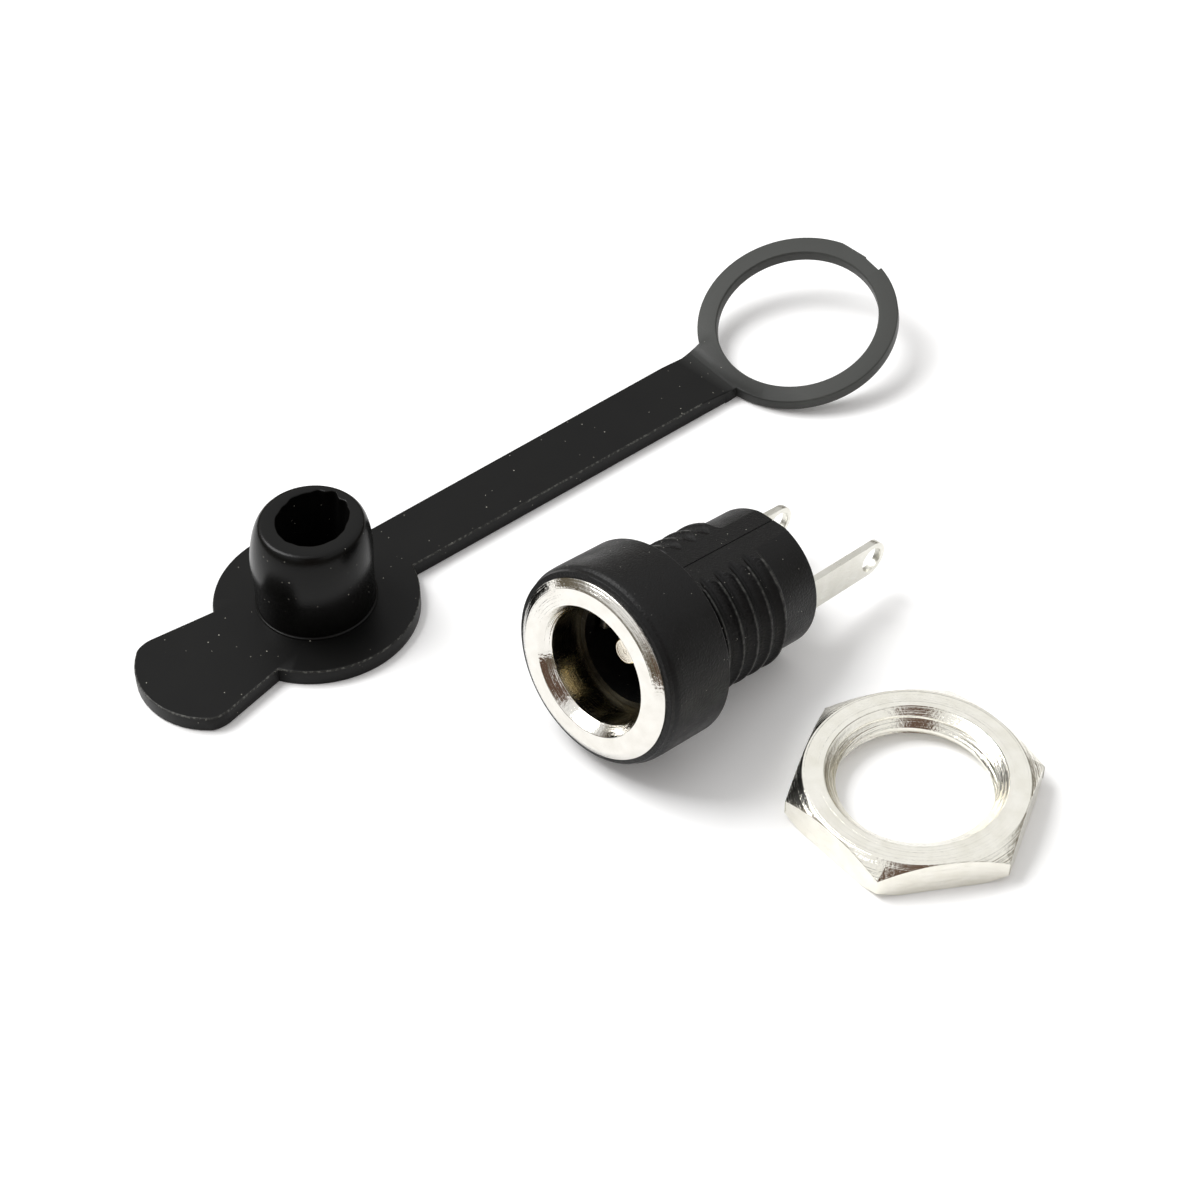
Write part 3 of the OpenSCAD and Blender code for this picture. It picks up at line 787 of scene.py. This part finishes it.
for vertex in plug.data.vertices:
    place = vertex.co / MM
    radius, turn = math.hypot(place.x, place.y), math.atan2(place.y, place.x)
    if PLUG_TOP - TEAR_DEPTH < place.z and radius < PLUG_BORE + 0.2:
        wider = 1 + tear(turn + STRAP_TURN) / radius
        place.x, place.y = place.x * wider, place.y * wider
    rise = max(0.0, (place.z - BULGE_TOP) / (PLUG_TOP - BULGE_TOP))
    vertex.co = (place + lean * rise) * MM
combine(cap, plug, "UNION")
finish_smooth(cap, 35)
cap.data.transform(Matrix.Translation(Vector((CAP_PLACE.x, CAP_PLACE.y, 0)) * MM)
                   @ Matrix.Rotation(STRAP_TURN, 4, "Z"))
belongs(cap, moulded_rubber(), "dust_cap")


# ---- Table, light and camera ------------------------------------------------------------
# A sheet of smooth white card inside a white tent, under one wide soft box to the camera's
# left. The tent is open on the camera's side, and the camera has a long lens and stands high
# on the mouth's side.

CARD_WIDTH = 460
CARD_DROP = 0.02
CARD_LIFT = 0.08
TENT_WHITE = "#ffffff"
TENT_FOOT = "#6e675a"
TENT_GAP = "#665044"
TENT_LEVEL = 0.85
GAP_FRONT = (0.7136, -0.7005, 0.0)
GAP_SIDE = (0.7005, 0.7136, 0.0)
BOX_PLACE = Vector((-330, -170, 515))
BOX_SIZE = 340
BOX_POWER = 3.4
CAMERA_AIM = Vector((-7.69, -4.17, 0))
CAMERA_REACH = 191.31
CAMERA_TURN = math.radians(45.53)
CAMERA_TILT = math.radians(90 - 45.7157)
CAMERA_ROLL = math.radians(-1.02568)
CAMERA_LENS = 81.66
CAMERA_SENSOR = 36


def mirrored_rays(tree, path):
    """1 for a ray that has come by way of a mirroring or a clear surface, 0 for the others."""
    return add(tree, "ShaderNodeMath", {
        0: path.outputs["Is Glossy Ray"], 1: path.outputs["Is Transmission Ray"]},
        operation="MAXIMUM").outputs[0]


def pale_card():
    """White card that reads white to the camera and in metal, and keeps its soft shadows."""
    material, tree, shader = new_material("white_card")
    shader.inputs["Base Color"].default_value = linear("#fafafa")
    shader.inputs["Roughness"].default_value = 0.8
    path = add(tree, "ShaderNodeLightPath")
    seen = add(tree, "ShaderNodeMath", {
        0: path.outputs["Is Camera Ray"], 1: mirrored_rays(tree, path)}, operation="MAXIMUM")
    lift = add(tree, "ShaderNodeMath", {0: seen.outputs[0], 1: CARD_LIFT}, operation="MULTIPLY")
    tree.links.new(lift.outputs[0], shader.inputs["Emission Strength"])
    shader.inputs["Emission Color"].default_value = linear("#ffffff")
    return material


def studio():
    """A white tent that darkens towards the table and has a brown gap on the camera's side."""
    world = bpy.data.worlds.new("studio")
    world.use_nodes = True
    tree = world.node_tree
    tree.nodes.clear()
    where = add(tree, "ShaderNodeTexCoord").outputs["Generated"]
    rise = add(tree, "ShaderNodeSeparateXYZ", {"Vector": where}).outputs["Z"]
    wall = add(tree, "ShaderNodeMapRange", {
        "Value": rise, "From Min": 0.2, "From Max": 0.65}, interpolation_type="SMOOTHSTEP")
    front = add(tree, "ShaderNodeVectorMath", {0: where, 1: GAP_FRONT}, operation="DOT_PRODUCT")
    side = add(tree, "ShaderNodeVectorMath", {0: where, 1: GAP_SIDE}, operation="DOT_PRODUCT")
    off = add(tree, "ShaderNodeMath", {0: side.outputs["Value"]}, operation="ABSOLUTE")
    within = add(tree, "ShaderNodeMapRange", {
        "Value": off.outputs[0], "From Min": 0.34, "From Max": 0.2},
        interpolation_type="SMOOTHSTEP")
    below = add(tree, "ShaderNodeMapRange", {
        "Value": front.outputs["Value"], "From Min": 0.3, "From Max": 0.45},
        interpolation_type="SMOOTHSTEP")
    gap = add(tree, "ShaderNodeMath", {0: within.outputs[0], 1: below.outputs[0]},
              operation="MULTIPLY")
    cloth = add(tree, "ShaderNodeMix", {
        "Factor": wall.outputs[0], "A": linear(TENT_FOOT), "B": linear(TENT_WHITE)},
        data_type="RGBA")
    opened = add(tree, "ShaderNodeMix", {
        "Factor": gap.outputs[0], "A": cloth.outputs["Result"], "B": linear(TENT_GAP)},
        data_type="RGBA")
    path = add(tree, "ShaderNodeLightPath")
    level = add(tree, "ShaderNodeMapRange", {
        "Value": mirrored_rays(tree, path), "To Min": TENT_LEVEL, "To Max": 1.0})
    tent = add(tree, "ShaderNodeBackground", {
        "Color": opened.outputs["Result"], "Strength": level.outputs[0]})
    backdrop = add(tree, "ShaderNodeBackground", {"Color": linear(TENT_WHITE), "Strength": 1.0})
    both = add(tree, "ShaderNodeMixShader", {
        0: path.outputs["Is Camera Ray"], 1: tent.outputs[0], 2: backdrop.outputs[0]})
    add(tree, "ShaderNodeOutputWorld", {"Surface": both.outputs[0]})
    return world


nothing_selected()
bpy.ops.mesh.primitive_plane_add(size=CARD_WIDTH * MM, location=(0, 0, -CARD_DROP * MM))
table = bpy.context.object
table.name = "table"
bpy.ops.object.transform_apply(location=True, rotation=True, scale=True)
table.data.materials.append(pale_card())

soft_light = bpy.data.lights.new("soft_box", "AREA")
soft_light.shape = "SQUARE"
soft_light.size = BOX_SIZE * MM
soft_light.energy = BOX_POWER
soft_box = bpy.data.objects.new("soft_box", soft_light)
soft_box.location = BOX_PLACE * MM
soft_box.rotation_euler = BOX_PLACE.to_track_quat("Z", "Y").to_euler()
bpy.context.scene.collection.objects.link(soft_box)
bpy.context.scene.world = studio()

camera_data = bpy.data.cameras.new("camera")
camera_data.lens = CAMERA_LENS
camera_data.sensor_width = CAMERA_SENSOR
camera_data.clip_start = 10 * MM
camera = bpy.data.objects.new("camera", camera_data)
bpy.context.scene.collection.objects.link(camera)
look = (Matrix.Rotation(CAMERA_TURN, 4, "Z") @ Matrix.Rotation(CAMERA_TILT, 4, "X")
        @ Matrix.Rotation(CAMERA_ROLL, 4, "Z"))
stand = (CAMERA_AIM + look.to_3x3() @ Vector((0, 0, CAMERA_REACH))) * MM
camera.matrix_world = Matrix.Translation(stand) @ look
bpy.context.scene.camera = camera
bpy.context.scene.view_settings.view_transform = "Standard"
